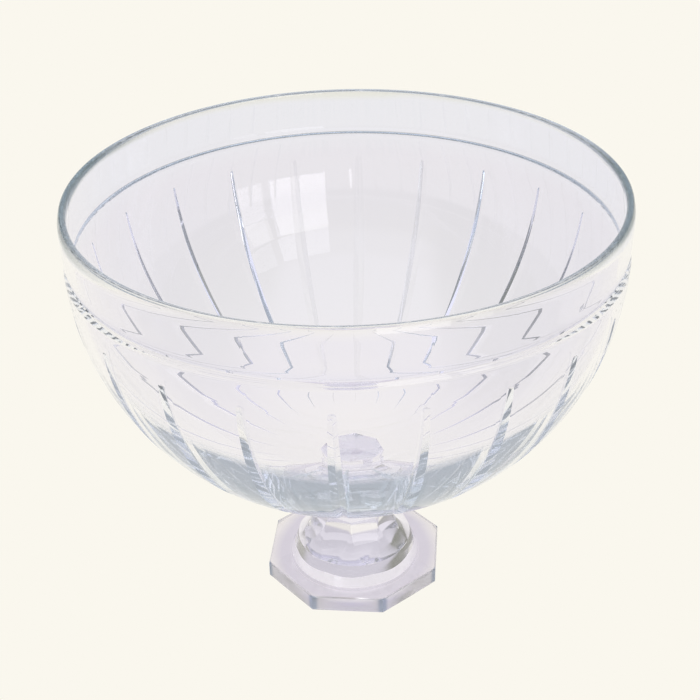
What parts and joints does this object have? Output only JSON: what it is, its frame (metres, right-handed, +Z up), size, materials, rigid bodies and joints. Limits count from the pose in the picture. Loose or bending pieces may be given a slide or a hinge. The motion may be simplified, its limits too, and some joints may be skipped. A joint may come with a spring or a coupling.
{
  "type": "footed glass trifle bowl",
  "caption": "Deep round glass serving bowl with a plain band, a ring notch and vertical cut flutes, bonded to an octagonal pressed glass foot.",
  "frame": {"origin": "centre of the foot's underside, on the table", "axes": "+Z up along the bowl's axis; the flats of the foot's plate face X and Y, and -Y is the front"},
  "size_m": [0.25, 0.25, 0.2074],
  "materials": {
    "bowl_glass": "polished clear glass, faint blue-green in thick sections",
    "foot_glass": "polished clear pressed glass, faint lavender",
    "clear_bond": "clear cured adhesive"
  },
  "bodies": {
    "root": {"bowl": "bowl_glass", "foot": "foot_glass", "bond": "clear_bond"}
  },
  "joints": []
}
